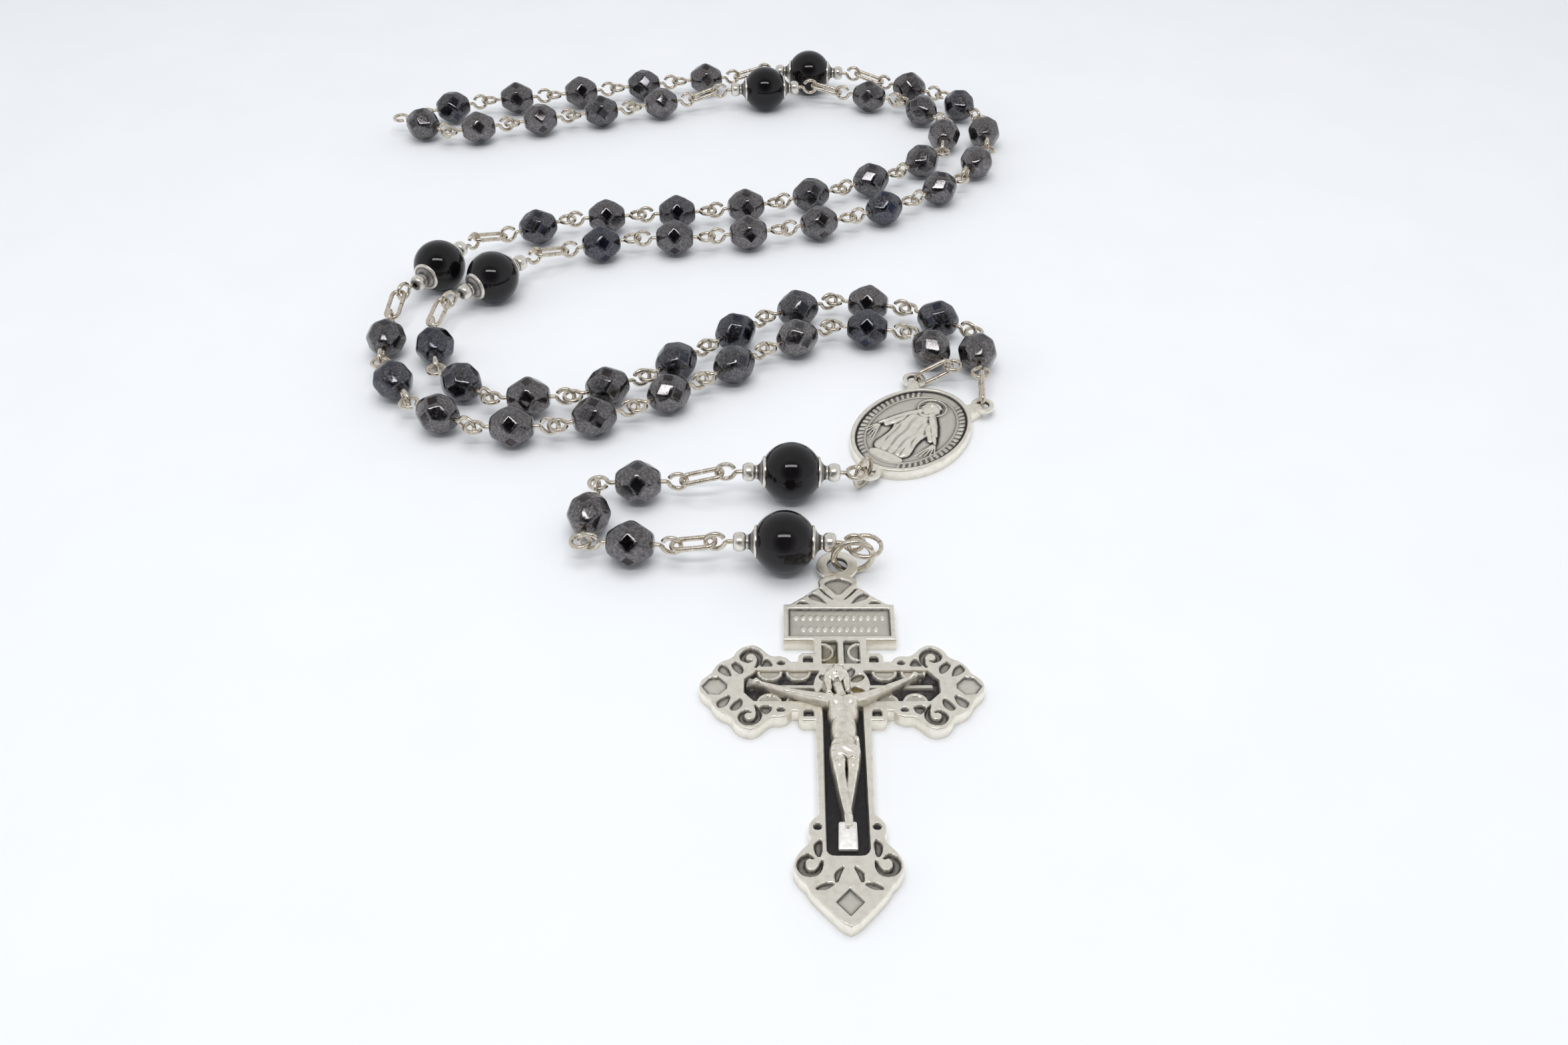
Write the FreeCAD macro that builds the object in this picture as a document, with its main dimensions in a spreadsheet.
import FreeCAD, Part
import math
import os
from FreeCAD import Placement, Rotation, Vector

# A five-decade rosary lying on a table in an S, with its pendant folded back in front of it.
# Frame: millimetres, +Z up, +Y away from the reader along the S, origin under the middle of the
# whole rosary on the table. Beads sit on wire pins with an eye at each end. Small bead to small
# bead the eyes catch each other; a large bead is joined to its neighbours by oval wire links.

doc = FreeCAD.newDocument("rosary")

# ---------------------------------------------------------------- driving dimensions
DIMENSIONS = [
    ("small_bead_width", 6.2, "across the sharp corners of the faceted bead"),
    ("small_bead_length", 6.0, "along its hole"),
    ("small_bead_end_width", 2.8, "across the flat face round the hole"),
    ("small_bead_axis_height", 3.05, "hole above the table"),
    ("large_bead_width", 8.0, "polished round bead"),
    ("bore_width", 0.72, "hole through every bead, cap and spacer"),
    ("bore_runout", 1.0, "how far a drill passes each face"),
    ("wire_width", 0.6, "pins and rings"),
    ("eye_radius", 1.2, "centre line of an eye"),
    ("eye_reach", 2.2, "bead face to the middle of the eye"),
    ("neck_bend", 0.6, "centre line radius where the wire turns into the eye"),
    ("cap_width", 4.3, "flared bead cap"),
    ("cap_rim_length", 0.95, "cylindrical part of the cap"),
    ("cap_cone_length", 0.75, "tapering part of the cap"),
    ("cap_neck_width", 1.7, "narrow end of the cap"),
    ("cap_overlap", 0.3, "how far the cap's rim reaches back over the bead"),
    ("cap_seat_gap", 0.005, "between the cap and the bead"),
    ("spacer_width", 2.5, "silver spacer ball"),
    ("spacer_length", 1.65, "between its flats"),
    ("link_wire", 0.65, "oval link"),
    ("link_length", 5.55, "oval link, between its end wires"),
    ("link_bend", 0.95, "centre line radius of the link's ends"),
    ("medal_link_bend", 1.1, "the same for the two links at the medal"),
    ("link_split", 0.12, "gap where the link closes"),
    ("ring_radius", 2.0, "centre line of the round rings"),
    ("jump_ring_radius", 2.4, "centre line of the ring that carries the crucifix"),
    ("jump_ring_wire", 0.8, "its wire"),
    ("ring_split_angle", 3.0, "degrees left open where a ring closes"),
    ("catch_play", 1.1, "middle of one eye to the middle of the eye it catches, in the pendant"),
    ("link_catch", 0.3, "end wire of a link inside an eye, from the middle of the eye"),
    ("link_slack", 0.2, "free run of a lying link at each end"),
    ("medal_length", 20.4, "oval centre medal"),
    ("medal_width", 15.4, "oval centre medal"),
    ("medal_thickness", 1.7, "at the rim"),
    ("medal_rim", 0.55, "raised rim round the medal"),
    ("medal_relief", 0.3, "depth of the ground below the rim"),
    ("lug_radius", 1.7, "outside of a medal lug"),
    ("lug_hole_radius", 0.85, "hole in a medal lug"),
    ("lug_low", 1.0, "underside of the lugs above the table"),
    ("lug_thickness", 0.7, "medal lugs"),
    ("cross_thickness", 1.8, "crucifix plate"),
    ("cross_recess", 0.6, "depth of the ornament's recesses"),
    ("bail_radius", 2.6, "disc at the top of the crucifix"),
    ("bail_hole_radius", 1.2, "its hole"),
    ("bail_low", 1.0, "underside of the disc above the table"),
    ("bail_thickness", 0.65, "the disc"),
    ("footrest_width", 2.1, "at its foot"),
    ("footrest_top_width", 1.9, "at its upper edge"),
    ("footrest_length", 2.9, "along the shaft"),
    ("footrest_height", 1.5, "at the figure's feet"),
    ("footrest_low_height", 0.5, "at the lower end, to which its face slopes"),
]

sheet = doc.addObject("Spreadsheet::Sheet", "dimensions")
for row, (alias, value, meaning) in enumerate(DIMENSIONS, start=1):
    sheet.set(f"A{row}", alias)
    sheet.set(f"B{row}", str(value))
    sheet.set(f"C{row}", meaning)
    sheet.setAlias(f"B{row}", alias)
doc.recompute()


def size(alias):
    """The value of a driving dimension, in mm or degrees."""
    return float(getattr(sheet, alias))


def bind(thing, **expressions):
    """Binds properties of a document object to the sheet."""
    for name, text in expressions.items():
        words = text.split()
        bound = [f"dimensions.{word}" if word[0].isalpha() else word for word in words]
        thing.setExpression(name, " ".join(bound))


def add(kind, name, place=None, **expressions):
    """Adds a primitive whose sizes follow the sheet."""
    thing = doc.addObject(kind, name)
    thing.Label = name
    bind(thing, **expressions)
    if place is not None:
        thing.Placement = place
    return thing


def along_x(start):
    """Placement that lays a cylinder, cone or ball, whose axis is Z, along +X from x = start."""
    return Placement(Vector(start, 0, 0), Rotation(Vector(0, 1, 0), 90))


def cut(name, base, tool):
    result = doc.addObject("Part::Cut", name)
    result.Base = base
    result.Tool = tool
    return result


def fuse(name, pieces):
    result = doc.addObject("Part::MultiFuse", name)
    result.Shapes = pieces
    return result


# ---------------------------------------------------------------- beads
small_half = size("small_bead_length") / 2
large_half = size("large_bead_width") / 2
wire = size("wire_width") / 2
runout = size("bore_runout")
FACETS = 6


def small_bead_shape():
    """Faceted bead along X: diamonds round the middle, kites and triangles towards the hole.

    The middle corners lie on radius wide and the shoulder corners on radius wide * cos(half step),
    which makes each diamond flat; the shoulder's place along the hole makes each kite flat.
    """
    wide = size("small_bead_width") / 2
    end = size("small_bead_end_width") / 2
    half_step = math.pi / FACETS
    shoulder = wide * math.cos(half_step)
    shoulder_x = small_half * wide * math.sin(half_step) ** 2 / (wide - end)

    def ring(x, radius, offset):
        return [
            Vector(x, radius * math.cos(a), radius * math.sin(a))
            for a in [2 * half_step * (i + offset) for i in range(FACETS)]
        ]

    middle = ring(0, wide, 0)
    faces = []
    for side in (1, -1):
        upper = ring(side * shoulder_x, shoulder, 0.5)
        tip = ring(side * small_half, end, 0)
        faces.append(tip)
        for i in range(FACETS):
            after = (i + 1) % FACETS
            faces.append([upper[i - 1], middle[i], upper[i], tip[i]])
            faces.append([upper[i], tip[after], tip[i]])
    high = ring(shoulder_x, shoulder, 0.5)
    low = ring(-shoulder_x, shoulder, 0.5)
    for i in range(FACETS):
        faces.append([middle[i], high[i], middle[(i + 1) % FACETS], low[i]])
    shell = Part.Shell([Part.Face(Part.makePolygon(f + [f[0]])) for f in faces])
    solid = Part.Solid(shell)
    if solid.Volume < 0:
        solid.reverse()
    return solid


small_body = doc.addObject("Part::Feature", "small_bead_blank")
small_body.Shape = small_bead_shape()
small_bore = add(
    "Part::Cylinder", "small_bore", along_x(-small_half - runout), Radius="bore_width / 2",
    Height="small_bead_length + 2 * bore_runout"
)
small_bead = cut("small_bead", small_body, small_bore)

large_body = add(
    "Part::Sphere", "large_bead_blank", along_x(0), Radius="large_bead_width / 2"
)
large_bore = add(
    "Part::Cylinder", "large_bore", along_x(-large_half - runout), Radius="bore_width / 2",
    Height="large_bead_width + 2 * bore_runout"
)
large_bead = cut("large_bead", large_body, large_bore)

# The cap's rim closes on the large bead; the spacer ball stands on the cap's narrow end.
cap_edge = math.sqrt(large_half**2 - (size("cap_width") / 2) ** 2)
cap_end = cap_edge + size("cap_rim_length") + size("cap_cone_length") - size("cap_overlap")
rim_end = cap_end - size("cap_cone_length")
cap_rim = add(
    "Part::Cylinder", "cap_rim", along_x(rim_end - size("cap_rim_length")),
    Radius="cap_width / 2", Height="cap_rim_length"
)
cap_cone = add(
    "Part::Cone", "cap_cone", along_x(rim_end), Radius1="cap_width / 2",
    Radius2="cap_neck_width / 2", Height="cap_cone_length"
)
cap_solid = fuse("cap_solid", [cap_rim, cap_cone])
cap_seat = add(
    "Part::Sphere", "cap_seat", along_x(0), Radius="large_bead_width / 2 + cap_seat_gap"
)
cap_bore = add(
    "Part::Cylinder", "cap_bore", along_x(0), Radius="bore_width / 2",
    Height="large_bead_width"
)
cap = cut("cap", cut("cap_seated", cap_solid, cap_seat), cap_bore)

spacer_half = size("spacer_length") / 2
spacer_cut = math.degrees(math.asin(spacer_half / (size("spacer_width") / 2)))
spacer_ball = add(
    "Part::Sphere", "spacer_ball", along_x(cap_end + spacer_half), Radius="spacer_width / 2"
)
spacer_ball.Angle1 = -spacer_cut
spacer_ball.Angle2 = spacer_cut
spacer_bore = add(
    "Part::Cylinder", "spacer_bore", along_x(0), Radius="bore_width / 2",
    Height="large_bead_width * 2"
)
spacer = cut("spacer", spacer_ball, spacer_bore)
large_stack = cap_end + size("spacer_length")

# ---------------------------------------------------------------- pins, links and rings
eye_radius = size("eye_radius")
eye_reach = size("eye_reach")
neck_bend = size("neck_bend")
eye_back = math.sqrt(eye_radius**2 + 2 * eye_radius * neck_bend)
neck_angle = math.degrees(math.asin(neck_bend / (eye_radius + neck_bend)))
EYE_END = 150
FLAT = 0
UPRIGHT = 90


def eye(name, face, roll, turn):
    """Pieces of one eye, on the pin's +X end or, turned round, on its -X end."""
    centre = face + eye_reach
    start = centre - eye_back
    side = Placement(Vector(0, 0, 0), Rotation(Vector(0, 0, 1), turn))
    rolled = Placement(Vector(0, 0, 0), Rotation(Vector(1, 0, 0), roll))
    bend = add(
        "Part::Torus", f"{name}_bend",
        side * rolled * Placement(Vector(start, -neck_bend, 0), Rotation(Vector(0, 0, 1), neck_angle)),
        Radius1="neck_bend", Radius2="wire_width / 2"
    )
    bend.Angle3 = 90 - neck_angle
    loop = add(
        "Part::Torus", f"{name}_loop",
        side * rolled * Placement(Vector(centre, 0, 0), Rotation(Vector(0, 0, 1), 180 + neck_angle)),
        Radius1="eye_radius", Radius2="wire_width / 2"
    )
    loop.Angle3 = 180 + EYE_END - neck_angle
    return [bend, loop]


def pin(name, face, roll_in, roll_out):
    """A wire pin along X with an eye past each face of what it carries."""
    reach = face + eye_reach - eye_back
    shaft = add("Part::Cylinder", f"{name}_shaft", along_x(-reach), Radius="wire_width / 2")
    shaft.Height = 2 * reach
    back = eye(f"{name}_in", face, roll_in, 180)
    front = eye(f"{name}_out", face, roll_out, 0)
    return fuse(name, [shaft] + back + front)


PINS = {
    ("small", UPRIGHT, FLAT): pin("small_pin_crossed", small_half, UPRIGHT, FLAT),
    ("small", UPRIGHT, UPRIGHT): pin("small_pin_upright", small_half, UPRIGHT, UPRIGHT),
    ("small", FLAT, FLAT): pin("small_pin_flat", small_half, FLAT, FLAT),
    ("large", UPRIGHT, UPRIGHT): pin("large_pin_upright", large_stack, UPRIGHT, UPRIGHT),
    ("large", FLAT, UPRIGHT): pin("large_pin_crossed", large_stack, FLAT, UPRIGHT),
}


def oval_link(title, bend_size):
    """An oval link flat in XY along X, its closing gap in the middle of one side."""
    link_side = size(bend_size)
    link_straight = size("link_length") / 2 - link_side
    pieces = []
    for name, turn in (("far", -90), ("near", 90)):
        end = math.copysign(link_straight, -turn)
        place = Placement(Vector(end, 0, 0), Rotation(Vector(0, 0, 1), turn))
        bend = add("Part::Torus", f"{title}_{name}", place, Radius1=bend_size, Radius2="link_wire / 2")
        bend.Angle3 = 180
        pieces.append(bend)
    whole = add(
        "Part::Cylinder", f"{title}_whole_side", along_x(-link_straight), Radius="link_wire / 2"
    )
    whole.Height = 2 * link_straight
    whole.Placement.Base.y = link_side
    pieces.append(whole)
    for name, start in (("left", -link_straight), ("right", size("link_split") / 2)):
        half = add("Part::Cylinder", f"{title}_{name}_side", along_x(start), Radius="link_wire / 2")
        half.Height = link_straight - size("link_split") / 2
        half.Placement.Base.y = -link_side
        pieces.append(half)
    return fuse(title, pieces)


link = oval_link("oval_link", "link_bend")
medal_link = oval_link("medal_link", "medal_link_bend")
ring = add("Part::Torus", "ring", Radius1="ring_radius", Radius2="wire_width / 2")
ring.setExpression("Angle3", "360 - dimensions.ring_split_angle")
jump_ring = add(
    "Part::Torus", "jump_ring_blank", Radius1="jump_ring_radius", Radius2="jump_ring_wire / 2"
)
jump_ring.setExpression("Angle3", "360 - dimensions.ring_split_angle")


# ---------------------------------------------------------------- castings
def plane_of(body, role):
    return next(f for f in body.Origin.OriginFeatures if f.Role == role)


def sketch_on(body, name, height=0):
    sketch = body.newObject("Sketcher::SketchObject", name)
    sketch.AttachmentSupport = (plane_of(body, "XY_Plane"), [""])
    sketch.MapMode = "FlatFace"
    sketch.AttachmentOffset = Placement(Vector(0, 0, height), Rotation())
    return sketch


def outline(sketch, points):
    """A closed outline of straight edges."""
    corners = [Vector(x, y, 0) for x, y in points]
    for here, there in zip(corners, corners[1:] + corners[:1]):
        sketch.addGeometry(Part.LineSegment(here, there), False)


def circle(sketch, x, y, radius):
    sketch.addGeometry(Part.Circle(Vector(x, y, 0), Vector(0, 0, 1), radius), False)


def oval(sketch, x, y, half_long, half_short, tilt):
    """An ellipse with its long axis tilt degrees from +X."""
    ellipse = Part.Ellipse(Vector(0, 0, 0), half_long, half_short)
    ellipse.rotate(Placement(Vector(0, 0, 0), Rotation(Vector(0, 0, 1), tilt)))
    ellipse.translate(Vector(x, y, 0))
    sketch.addGeometry(ellipse, False)


def pad(body, sketch, length):
    feature = body.newObject("PartDesign::Pad", f"{sketch.Name}_pad")
    feature.Profile = sketch
    feature.setExpression("Length", length)
    doc.recompute()
    return feature


def pocket(body, sketch, depth):
    feature = body.newObject("PartDesign::Pocket", f"{sketch.Name}_pocket")
    feature.Profile = sketch
    before = body.Shape.Volume
    feature.setExpression("Length", depth)
    doc.recompute()
    if body.Shape.Volume >= before - 1e-6:
        raise SystemExit(f"{sketch.Name} cuts nothing")
    return feature


def mirrored(points):
    """A half outline at x > 0, running from top to bottom, joined to its mirror image."""
    return points + [(-x, y) for x, y in reversed(points) if x > 1e-9]


# Centre medal, in its own plane: +Y to the top between the two upper lugs.
UPPER_LUG = (5.6, 10.3)
LOWER_LUG = (0.0, -11.4)
STEM_HALF_WIDTH = 1.15
STEM_LENGTH = 4.2

medal = doc.addObject("PartDesign::Body", "medal_body")
medal_plate = sketch_on(medal, "medal_outline")
oval(medal_plate, 0, 0, size("medal_length") / 2, size("medal_width") / 2, 90)
pad(medal, medal_plate, "dimensions.medal_thickness")
lug_sketch = sketch_on(medal, "medal_lugs", size("lug_low"))
for x, y in (UPPER_LUG, (-UPPER_LUG[0], UPPER_LUG[1]), LOWER_LUG):
    circle(lug_sketch, x, y, size("lug_radius"))
pad(medal, lug_sketch, "dimensions.lug_thickness")
stems = sketch_on(medal, "medal_lug_stems", size("lug_low"))
for x, y in (UPPER_LUG, (-UPPER_LUG[0], UPPER_LUG[1]), LOWER_LUG):
    out = Vector(x, y, 0).normalize()
    side = Vector(-out.y, out.x, 0) * STEM_HALF_WIDTH
    lug = Vector(x, y, 0)
    inner = lug - out * STEM_LENGTH
    outline(stems, [(v.x, v.y) for v in (lug + side, inner + side, inner - side, lug - side)])
pad(medal, stems, "dimensions.lug_thickness")
lug_holes = sketch_on(medal, "medal_lug_holes", size("medal_thickness"))
for x, y in (UPPER_LUG, (-UPPER_LUG[0], UPPER_LUG[1]), LOWER_LUG):
    circle(lug_holes, x, y, size("lug_hole_radius"))
pocket(medal, lug_holes, "dimensions.medal_thickness")
ground = sketch_on(medal, "medal_ground", size("medal_thickness"))
ground_long = size("medal_length") / 2 - size("medal_rim")
ground_short = size("medal_width") / 2 - size("medal_rim")
oval(ground, 0, 0, ground_long, ground_short, 90)
pocket(medal, ground, "dimensions.medal_relief")

# The figure on the medal stands in low relief: mantle, head and the globe under the feet.
# An oval is its middle's x and y, its half length, its half width and its tilt in degrees.
MANTLE = [
    (0.6, 5.0), (1.1, 3.9), (2.6, 2.3), (3.3, 0.2), (2.7, -0.2), (2.0, 0.6), (2.1, -2.6), (2.6, -5.9)
]
MEDAL_HEAD = (0, 5.6, 1.1, 0.85, 90)
MEDAL_GLOBE = (0, -6.6, 2.4, 1.0, 0)
figure_floor = size("medal_thickness") - size("medal_relief")
mantle = sketch_on(medal, "medal_mantle", figure_floor)
outline(mantle, mirrored(MANTLE))
pad(medal, mantle, "dimensions.medal_relief * 0.8")
head = sketch_on(medal, "medal_head", figure_floor)
oval(head, *MEDAL_HEAD)
pad(medal, head, "dimensions.medal_relief")
globe = sketch_on(medal, "medal_globe", figure_floor)
oval(globe, *MEDAL_GLOBE)
pad(medal, globe, "dimensions.medal_relief * 0.6")

# Crucifix, lying on its back: origin where the arms cross, +Y to the bail.
BAIL = (0.0, 20.5)
CREST = [
    (1.7, 18.4), (2.4, 17.4), (2.35, 16.3), (3.1, 15.9), (4.1, 14.8), (5.5, 13.8), (6.7, 13.3)
]
PLAQUE_SIDE = [(6.7, 7.3), (3.1, 7.3), (3.1, 5.2), (4.6, 5.2), (5.0, 4.6), (5.0, 3.8), (5.8, 3.8)]
ARM_END = [
    (6.3, 4.5), (7.0, 4.8), (7.9, 4.7), (8.6, 5.3), (9.4, 6.1), (10.4, 6.5), (11.6, 6.1), (12.4, 5.0),
    (12.8, 4.4), (13.7, 4.0), (14.4, 3.3), (14.9, 2.3), (15.6, 1.5), (16.3, 0.4)
]
SHOULDER = [(5.8, -3.8), (5.0, -3.8), (5.0, -4.6), (4.6, -5.2), (3.0, -5.2)]
FOOT = [
    (3.0, -18.3), (3.8, -19.0), (4.1, -20.2), (3.9, -21.3), (4.3, -22.1), (5.1, -23.0), (5.6, -24.2),
    (5.6, -25.3), (4.8, -26.6), (4.1, -27.5), (3.3, -28.8), (2.0, -30.3), (0.0, -31.9)
]
arm_below = [(x, -y) for x, y in reversed(ARM_END)]
cross_half = CREST + PLAQUE_SIDE + ARM_END + arm_below + SHOULDER + FOOT

cross = doc.addObject("PartDesign::Body", "cross_body")
cross_plate = sketch_on(cross, "cross_outline")
outline(cross_plate, mirrored(cross_half))
pad(cross, cross_plate, "dimensions.cross_thickness")
bail = sketch_on(cross, "bail_disc", size("bail_low"))
circle(bail, *BAIL, size("bail_radius"))
pad(cross, bail, "dimensions.bail_thickness")
bail_hole = sketch_on(cross, "bail_hole", size("cross_thickness"))
circle(bail_hole, *BAIL, size("bail_hole_radius"))
pocket(cross, bail_hole, "dimensions.cross_thickness")

# Recesses of the ornament. Outlines and ovals of the right half; the left half mirrors them.
CHANNEL_HALF = [
    (0.0, 2.3), (9.9, 2.3), (11.0, 1.0), (11.0, -1.0), (9.9, -2.3), (2.2, -2.3), (2.2, -22.2), (1.2, -23.2)
]
PLAQUE_WINDOW_HALF = [(6.05, 12.6), (6.05, 7.9)]
CREST_WINDOW_HALF = [(0.0, 17.9), (1.0, 17.6), (1.7, 16.9), (0.0, 15.0)]
TIP_WINDOW_HALF = [(0.0, -27.3), (1.5, -28.9), (0.0, -30.4)]
NECK_WINDOW = [(0.4, 7.2), (2.2, 7.2), (2.2, 3.5), (0.4, 3.5)]
STEP_WINDOW = [(3.1, 4.6), (4.2, 4.6), (4.2, 3.7), (3.1, 3.7)]
CREST_AND_FOOT_OVALS = [
    (2.5, 14.3, 1.1, 0.5, 140), (4.4, 13.45, 0.6, 0.22, 0), (14.3, 0.0, 1.4, 1.25, 0),
    (3.05, -19.7, 0.42, 0.4, 0), (3.1, -22.6, 0.7, 0.42, 90), (3.6, -24.4, 1.05, 0.85, 0),
    (1.0, -25.8, 0.6, 0.25, 115), (2.4, -27.3, 0.65, 0.3, 0)
]
ARM_OVALS = [
    (13.3, 2.3, 1.15, 0.45, 110), (11.9, 3.15, 0.95, 0.45, 120), (10.4, 4.6, 0.9, 0.75, 90),
    (8.8, 3.45, 0.75, 0.38, 0), (7.0, 3.5, 0.42, 0.35, 0)
]
cross_top = size("cross_thickness")
channels = sketch_on(cross, "cross_channels", cross_top)
outline(channels, mirrored(CHANNEL_HALF))
pocket(cross, channels, "dimensions.cross_recess")
windows = sketch_on(cross, "cross_windows", cross_top)
for half_window in (PLAQUE_WINDOW_HALF, CREST_WINDOW_HALF, TIP_WINDOW_HALF):
    outline(windows, mirrored(half_window))
for side in (1, -1):
    for window in (NECK_WINDOW, STEP_WINDOW):
        outline(windows, [(side * x, y) for x, y in window])
    for x, y, half_long, half_short, tilt in CREST_AND_FOOT_OVALS:
        oval(windows, side * x, y, half_long, half_short, side * tilt)
    for x, y, half_long, half_short, tilt in ARM_OVALS:
        for up in (1, -1):
            oval(windows, side * x, up * y, half_long, half_short, side * up * tilt)
pocket(cross, windows, "dimensions.cross_recess * 0.75")

# Halo and footrest stand on the floor of the channels.
HALO = (0.0, 0.1, 3.2)
FOOTREST_LOW_END = -22.7
floor_z = cross_top - size("cross_recess")
halo_hub = sketch_on(cross, "halo_disc", floor_z)
circle(halo_hub, *HALO)
pad(cross, halo_hub, "dimensions.cross_recess")

footrest = add(
    "Part::Wedge", "footrest_block", Placement(Vector(0, FOOTREST_LOW_END, floor_z), Rotation()),
    Xmin="0 - footrest_width / 2", Xmax="footrest_width / 2",
    X2min="0 - footrest_top_width / 2", X2max="footrest_top_width / 2",
    Ymax="footrest_length", Zmax="footrest_low_height", Z2max="footrest_height"
)
footrest.Ymin = 0
footrest.Zmin = 0
footrest.Z2min = 0


def limb(start, end, start_radius, end_radius):
    """A tapering round limb with round ends, whose balls have their poles along the limb."""
    run = end - start
    shaft = Part.makeCone(start_radius, end_radius, run.Length, start, run)
    balls = []
    for centre, radius in ((start, start_radius), (end, end_radius)):
        ball = Part.makeSphere(radius)
        ball.Placement = Placement(centre, Rotation(Vector(0, 0, 1), run))
        balls.append(ball)
    return shaft.fuse(balls)


# The figure: where its limbs run, with heights above its flat back, and their radii.
CORPUS_LIMBS = [
    ((0.0, -3.4, 0.75), (0.0, -9.4, 0.7), 1.45, 1.25),  # chest to hips
    ((0.0, -9.4, 0.7), (0.1, -14.0, 1.0), 1.5, 0.95),  # hips to knees
    ((0.1, -14.0, 1.0), (0.0, -19.2, 0.6), 0.95, 0.5),  # knees to feet
    ((-0.2, -2.2, 0.8), (-0.9, 0.6, 1.3), 0.7, 1.15),  # neck to the bowed head
    ((-1.2, -3.0, 0.9), (-9.9, 0.4, 0.55), 0.75, 0.42),  # left arm
    ((1.2, -3.0, 0.9), (9.3, 0.9, 0.55), 0.75, 0.42),  # right arm
]
CORPUS_CLEARANCE = 0.02
FRONT_HALF = (40.0, 60.0, 6.0)


def corpus_shape():
    """The figure, rounded and cut flat at the back where it lies on the cross."""
    back = Vector(0, 0, cross_top + CORPUS_CLEARANCE)
    pieces = [
        limb(back + Vector(*start), back + Vector(*end), start_radius, end_radius)
        for start, end, start_radius, end_radius in CORPUS_LIMBS
    ]
    whole = pieces[0].fuse(pieces[1:])
    wide, long, high = FRONT_HALF
    return whole.common(Part.makeBox(wide, long, high, back - Vector(wide / 2, long / 2, 0)))


corpus = doc.addObject("Part::Feature", "corpus_blank")
corpus.Shape = corpus_shape()

# ---------------------------------------------------------------- how it lies
# Places are in a working frame; the whole is moved to its own middle at the end.
MEDAL_PLACE = (33.2, -15.2)
MEDAL_HEADING = 56.0
CRUCIFIX_PLACE = (22.1, -63.7)
SMALL_Z = size("small_bead_axis_height")
LARGE_Z = large_half
LUG_CATCH = 0.3  # from the lug's middle to the start of the link's run
LUG_LINK_TILT = 21.0  # degrees, the link climbs from the lug to the first eye
LUG_LINK_RISE = 0.2  # the link rides this much higher than the lug's own middle
STRAND_PLAYS = {"left": (1.1, 1.3, 1.05), "right": (1.0, 1.7, 1.75)}
LINK_SPAN = size("link_length") - size("link_wire") - 2 * wire - 2 * size("link_slack")
EYE_SPAN = 2 * (small_half + eye_reach)
LARGE_SPAN = 2 * (large_stack + eye_reach)

# Front strand, from the medal's left lug round to the far bend, and back strand from its right lug.
FRONT_ROUTE = [
    (40.4, -1.4), (33.8, 6.8), (27.5, 8.4), (20.5, 7.4), (11.2, 0.8), (2.3, -7.0), (-7.5, -13.4),
    (-18.3, -17.0), (-29.5, -16.2), (-39.5, -8.4), (-44.0, 4.5), (-40.5, 25.5), (-24.0, 38.4),
    (-12.0, 41.0), (0.2, 42.3), (12.0, 44.9), (23.8, 49.8), (35.0, 56.0), (43.6, 63.8), (45.6, 74.0),
    (40.8, 82.0), (31.5, 87.4), (11.0, 88.8), (-9.7, 82.8), (-21.0, 79.3), (-32.5, 76.0),
    (-43.6, 72.0), (-51.5, 72.6), (-55.4, 77.4), (-57.0, 84.0)
]
BACK_ROUTE = [
    (43.8, -3.4), (43.6, 7.0), (36.7, 11.8), (25.4, 15.4), (14.2, 11.6), (4.9, 3.4), (-4.4, -5.0),
    (-14.0, -9.6), (-23.3, -10.8), (-32.2, -6.2), (-37.2, 3.5), (-34.4, 17.0), (-18.5, 31.0),
    (-6.8, 34.0), (5.1, 34.4), (17.2, 37.3), (28.8, 41.6), (39.8, 48.3), (48.8, 57.5), (52.9, 71.0),
    (48.6, 83.6), (38.5, 91.4), (18.5, 96.4), (-1.2, 93.8), (-13.8, 90.8), (-25.9, 87.4),
    (-38.1, 85.4), (-47.2, 81.6), (-56.0, 77.5)
]


def smooth(points, steps=24):
    """Points along a curve through the given points, with no kinks."""
    padded = [points[0]] + points + [points[-1]]
    curve = []
    for a, b, c, d in zip(padded, padded[1:], padded[2:], padded[3:]):
        for k in range(steps):
            s = k / steps
            curve.append(tuple(
                0.5 * (2 * q + (r - p) * s + (2 * p - 5 * q + 4 * r - t) * s * s
                       + (3 * q - p - 3 * r + t) * s**3)
                for p, q, r, t in zip(a, b, c, d)
            ))
    curve.append(points[-1])
    return [Vector(x, y, 0) for x, y in curve]


class Walker:
    """Steps along a curve by straight lengths, as a chain of rigid pieces lies along it."""

    def __init__(self, start, curve):
        self.here = start
        self.curve = curve
        self.index = 0

    def step(self, length):
        """The next place on the curve at this distance, and the one before."""
        before = self.here
        i = self.index
        while i + 1 < len(self.curve):
            a = self.curve[i] - before
            b = self.curve[i + 1] - before
            if a.Length <= length <= b.Length:
                run = b - a
                half = a.dot(run) / run.dot(run)
                rest = (length**2 - a.dot(a)) / run.dot(run)
                s = -half + math.sqrt(half * half + rest)
                self.here = before + a + run * s
                self.index = i
                return before, self.here
            i += 1
        heading = (self.curve[-1] - self.curve[-2]).normalize()
        self.here = before + heading * length
        return before, self.here


def facing(place, toward, roll=0):
    """Placement at a point with +X towards another point and the local Y level, then rolled."""
    ahead = (toward - place).normalize()
    level = Vector(0, 0, 1).cross(ahead).normalize()
    up = ahead.cross(level)
    turn = Rotation(ahead, level, up, "XYZ")
    return Placement(place, turn * Rotation(Vector(1, 0, 0), roll))


def raised(point, height):
    return Vector(point.x, point.y, height)


BEAD_ROLL = 14.0
BEAD_ROLL_STEP = 2.4


def bead_roll(count):
    """Each small bead lies on a facet, turned a little one way or the other."""
    return Placement(Vector(), Rotation(Vector(1, 0, 0), BEAD_ROLL * math.sin(BEAD_ROLL_STEP * count)))


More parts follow.
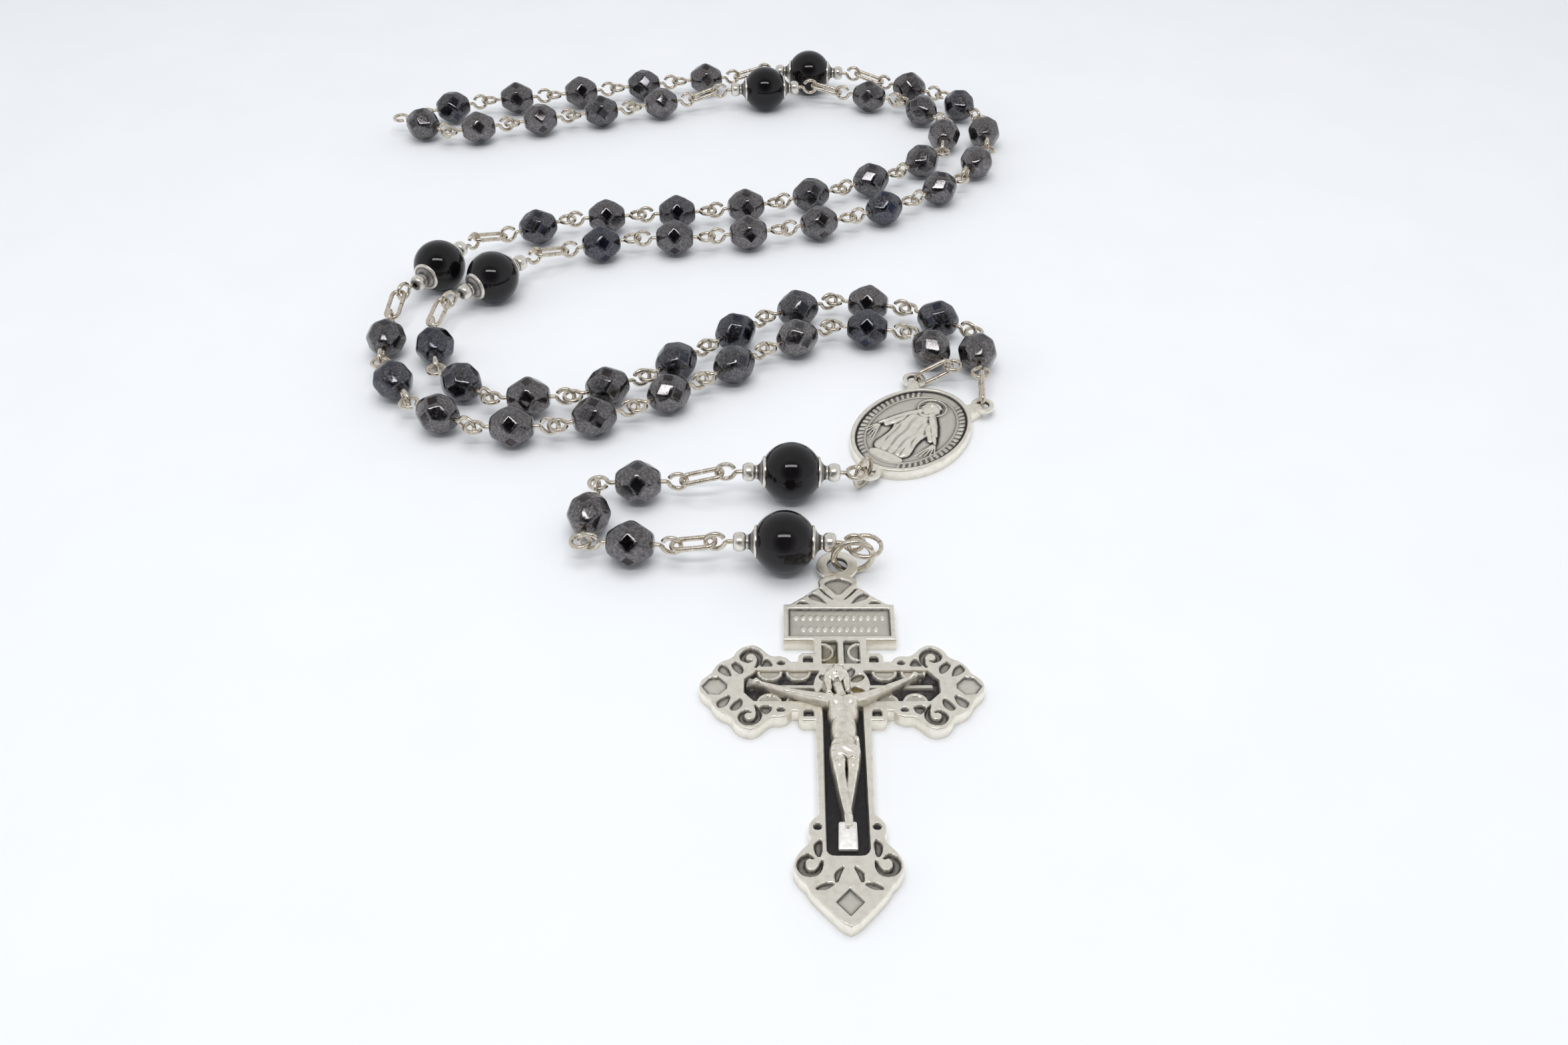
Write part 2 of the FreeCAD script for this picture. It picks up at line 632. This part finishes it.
placed = {}  # node name to a list of (master shape, placement)
pivots = {}  # moving piece to the place where its wire rests on the one it hangs from
beads = []  # (what it belongs to, size, centre) for every bead


def put(node, master, place):
    placed.setdefault(node, []).append((master, place))


def put_small_bead(body, start, heading_to, lead, roll_in, roll_out, height=SMALL_Z):
    """A small bead on its pin; lead is from the given point to the middle of the first eye."""
    ahead = (heading_to - start).normalize()
    centre = raised(start + ahead * (lead + EYE_SPAN / 2), height)
    place = facing(centre, centre + ahead)
    put(f"{body}_beads", small_bead, place * bead_roll(len(beads)))
    put(f"{body}_pins", PINS["small", roll_in, roll_out], place)
    beads.append((body, size("small_bead_width") / 2, centre))


def put_large_bead(body, centre, toward, roll_in, roll_out):
    place = facing(centre, toward)
    back = place * Placement(Vector(), Rotation(Vector(0, 0, 1), 180))
    put(f"{body}_bead", large_bead, place)
    for side in (place, back):
        put(f"{body}_caps_and_spacers", cap, side)
        put(f"{body}_caps_and_spacers", spacer, side)
    put(f"{body}_pin", PINS["large", roll_in, roll_out], place)
    beads.append((body, large_half, centre))


def put_link(node, start, end):
    """A lying oval link, its middle halfway between the two points."""
    put(node, link, facing((start + end) * 0.5, end))


def lay_strand(side, start, route, names):
    """One half of the loop, from a medal lug to the far bend.

    STRAND_PLAYS holds, for each decade, how far apart two eyes that catch each other lie.
    """
    plays = STRAND_PLAYS[side]
    walker = Walker(Vector(*start, 0), smooth([start] + route))
    lug_z = size("lug_low") + size("lug_thickness") / 2
    lug_wall = (size("lug_radius") + size("lug_hole_radius")) / 2
    run = size("link_length") * math.cos(math.radians(LUG_LINK_TILT))
    before, here = walker.step(LUG_CATCH + run + size("link_catch"))
    level = (here - before).normalize()
    on_lug = raised(before + level * lug_wall, lug_z)
    on_eye = raised(here - level * eye_radius, SMALL_Z)
    low = on_lug + Vector(0, 0, LUG_LINK_RISE)
    high = on_eye - Vector(0, 0, LUG_LINK_RISE / 2)
    put(f"medal_link_{side}", medal_link, facing((low + high) * 0.5, high, UPRIGHT))
    pivots[f"medal_link_{side}"] = on_lug
    pivots[names["first_half"][0]] = on_eye
    lead = 0.0
    roll_in = FLAT
    for number, decade in enumerate((names["first_half"], names["second_half"], names["far_half"])):
        last_of_all = number == 2
        count = 5 if last_of_all else 10
        for k in range(count):
            body = decade[0] if k < 5 else decade[1]
            last = k == count - 1 and not last_of_all
            span = lead + EYE_SPAN + (eye_radius if last else 0.0)
            before, here = walker.step(span)
            if k in (0, 5) and body not in pivots:
                pivots[body] = raised(before, SMALL_Z) + (here - before).normalize() * eye_radius
            put_small_bead(body, before, here, lead, roll_in, UPRIGHT if last else FLAT)
            lead = plays[number]
            roll_in = UPRIGHT
        if last_of_all:
            break
        large = names["large"][number]
        before, here = walker.step(LINK_SPAN)
        pivots[large] = raised(before, SMALL_Z)
        put_link(f"{large}_links", raised(before, SMALL_Z), raised(here, LARGE_Z))
        before, here = walker.step(LARGE_SPAN + 2 * eye_radius)
        toward = raised(here, LARGE_Z)
        put_large_bead(large, raised((before + here) * 0.5, LARGE_Z), toward, UPRIGHT, UPRIGHT)
        before, here = walker.step(LINK_SPAN)
        put_link(f"{large}_links", raised(before, LARGE_Z), raised(here, SMALL_Z))
        next_body = (names["second_half"], names["far_half"])[number][0]
        pivots[next_body] = raised(here, SMALL_Z)
        lead = eye_radius
        roll_in = UPRIGHT


medal_turn = Placement(Vector(*MEDAL_PLACE, 0), Rotation(Vector(0, 0, 1), MEDAL_HEADING - 90))


def medal_point(x, y, z=0.0):
    return medal_turn.multVec(Vector(x, y, z))


left_lug = medal_point(-UPPER_LUG[0], UPPER_LUG[1])
right_lug = medal_point(*UPPER_LUG)
lay_strand("left", (left_lug.x, left_lug.y), FRONT_ROUTE, {
    "first_half": ("decade_1_a", "decade_1_b"),
    "second_half": ("decade_2_a", "decade_2_b"),
    "far_half": ("decade_3_a",),
    "large": ("our_father_1", "our_father_2"),
})
lay_strand("right", (right_lug.x, right_lug.y), BACK_ROUTE, {
    "first_half": ("decade_5_b", "decade_5_a"),
    "second_half": ("decade_4_b", "decade_4_a"),
    "far_half": ("decade_3_b",),
    "large": ("our_father_4", "our_father_3"),
})
put("centre_medal", medal, medal_turn)

# The pendant, from the medal's lower lug: ring, large bead, three small beads, large bead, rings,
# crucifix. Headings are in degrees from +X.
RING_FROM_LUG = 1.4
RING_SPLIT_TURN = 60
RING_EYE_SLACK = 0.1
OPENING_EYE_Z = 3.4
FLOOR_GAP = 0.02
FIRST_LARGE_HEADING = 184
SECOND_LARGE_HEADING = -1
LINK_HEADINGS = (181, -3)
SECOND_LINK_SHORTER = 0.8
JUMP_HEADING = 5
JUMP_SPLIT_TURN = 100
JUMP_BAIL_SLACK = 0.06
JUMP_PIVOT_ASIDE = 2.0
END_RING_ASIDE = 1.5
END_RING_SPLIT_TURN = 20


def heading(degrees):
    return Vector(math.cos(math.radians(degrees)), math.sin(math.radians(degrees)), 0)


def along(start, degrees, length, height):
    return raised(start + heading(degrees) * length, height)


def standing(degrees, split_turn):
    """Turns a ring upright, in the plane of a heading, and moves its split round."""
    upright = Rotation(Vector(1, 0, 0), 90)
    return Rotation(Vector(0, 0, 1), degrees) * upright * Rotation(Vector(0, 0, 1), split_turn)


lower_lug = medal_point(*LOWER_LUG)
ring_z = size("ring_radius") + wire + FLOOR_GAP
medal_axis = MEDAL_HEADING + 180
ring_centre = along(lower_lug, medal_axis, RING_FROM_LUG, ring_z)
ring_crossing = math.sqrt(size("ring_radius") ** 2 - (OPENING_EYE_Z - ring_z) ** 2)
put("medal_ring", ring, Placement(ring_centre, standing(medal_axis, RING_SPLIT_TURN)))
pivots["medal_ring"] = raised(lower_lug, ring_z)
eye_place = along(lower_lug, medal_axis, RING_FROM_LUG + ring_crossing + RING_EYE_SLACK, OPENING_EYE_Z)
pivots["our_father_5"] = eye_place

TIP = LARGE_Z - OPENING_EYE_Z
level_span = math.sqrt(LARGE_SPAN**2 - 4 * TIP**2)
far_eye = along(eye_place, FIRST_LARGE_HEADING, level_span, OPENING_EYE_Z + 2 * TIP)
put_large_bead("our_father_5", (eye_place + far_eye) * 0.5, far_eye, FLAT, UPRIGHT)


def pendant_link(name, start_eye, degrees, gap, height):
    """An oval link from one upright eye to the next; returns the middle of the next eye."""
    next_eye = along(start_eye, degrees, gap, height)
    put_link(name, start_eye, next_eye)
    pivots[name] = start_eye + heading(degrees) * eye_radius
    return next_eye


EYE_GAP = LINK_SPAN + 2 * eye_radius
eye_in = pendant_link("pendant_link_1", far_eye, LINK_HEADINGS[0], EYE_GAP, SMALL_Z)
PLAY = size("catch_play")
PENDANT_BEADS = [
    ("hail_mary_1", 182, 0.0, UPRIGHT, FLAT), ("hail_mary_2", -96, PLAY, UPRIGHT, FLAT),
    ("hail_mary_3", -4, PLAY, UPRIGHT, UPRIGHT)
]
here = eye_in
for name, degrees, lead, roll_in, roll_out in PENDANT_BEADS:
    reach = eye_radius if lead else -eye_radius
    pivots[name] = here + heading(degrees) * reach
    put_small_bead(name, here, here + heading(degrees), lead, roll_in, roll_out)
    here = along(here, degrees, lead + EYE_SPAN, SMALL_Z)
second_gap = EYE_GAP - SECOND_LINK_SHORTER
eye_in = pendant_link("pendant_link_2", here, LINK_HEADINGS[1], second_gap, LARGE_Z)
pivots["our_father_6"] = eye_in - heading(SECOND_LARGE_HEADING) * eye_radius
eye_out = along(eye_in, SECOND_LARGE_HEADING, LARGE_SPAN, LARGE_Z)
put_large_bead("our_father_6", (eye_in + eye_out) * 0.5, eye_out, UPRIGHT, UPRIGHT)

bail_hole_place = Vector(CRUCIFIX_PLACE[0] + BAIL[0], CRUCIFIX_PLACE[1] + BAIL[1], 0)
bail_section = (size("bail_hole_radius") + size("bail_radius")) / 2
jump_z = size("jump_ring_radius") + size("jump_ring_wire") / 2 + FLOOR_GAP
jump_centre = along(bail_hole_place, JUMP_HEADING, bail_section + JUMP_BAIL_SLACK, jump_z)
put("jump_ring", jump_ring, Placement(jump_centre, standing(JUMP_HEADING, JUMP_SPLIT_TURN)))
end_ring_centre = Vector(jump_centre.x + END_RING_ASIDE, (eye_out.y + jump_centre.y) / 2, LARGE_Z)
put("end_ring", ring, Placement(end_ring_centre, Rotation(Vector(0, 0, 1), END_RING_SPLIT_TURN)))
pivots["end_ring"] = eye_out
pivots["jump_ring"] = Vector(jump_centre.x + JUMP_PIVOT_ASIDE, jump_centre.y, LARGE_Z)
pivots["crucifix"] = raised(bail_hole_place, size("bail_low") + size("bail_thickness") / 2)

crucifix_place = Placement(Vector(*CRUCIFIX_PLACE, 0), Rotation())
put("crucifix", cross, crucifix_place)
put("corpus", corpus, crucifix_place)
put("footrest", footrest, crucifix_place)

# ---------------------------------------------------------------- nodes
doc.recompute()
nodes = {}
for name, copies in placed.items():
    origin = copies[0][1]
    inverse = origin.inverse()
    shapes = []
    for master, place in copies:
        shape = master.Shape.copy()
        shape.Placement = inverse * place * master.Shape.Placement
        shapes.append(shape)
    node = doc.addObject("Part::Feature", name)
    node.Label = name
    node.Shape = shapes[0] if len(shapes) == 1 else Part.makeCompound(shapes)
    node.Placement = origin * node.Placement if len(shapes) == 1 else origin
    nodes[name] = node

box = FreeCAD.BoundBox()
for node in nodes.values():
    box.add(node.Shape.optimalBoundingBox(False))
middle = Vector((box.XMin + box.XMax) / 2, (box.YMin + box.YMax) / 2, 0)
for node in nodes.values():
    node.Placement.Base = node.Placement.Base - middle
for name, place in pivots.items():
    pivots[name] = place - middle
beads = [(body, radius, centre - middle) for body, radius, centre in beads]
doc.recompute()


def check():
    """Stops if anything in the document failed or a sub-part is not a sound solid."""
    for thing in doc.Objects:
        if "Invalid" in thing.State or "Error" in thing.State:
            raise SystemExit(f"{thing.Name}: {thing.State}")
    for name, node in nodes.items():
        if node.Shape.isNull() or not node.Shape.isValid() or not node.Shape.Solids:
            raise SystemExit(f"{name}: bad shape")


check()
os.makedirs("parts", exist_ok=True)
for name, node in nodes.items():
    node.Shape.exportStep(f"parts/{name}.step")
print(f"{len(nodes)} nodes, {len(beads)} beads, box {box.XLength:.1f} x {box.YLength:.1f} x {box.ZMax:.1f}")
print(f"lowest point {box.ZMin:.3f}")
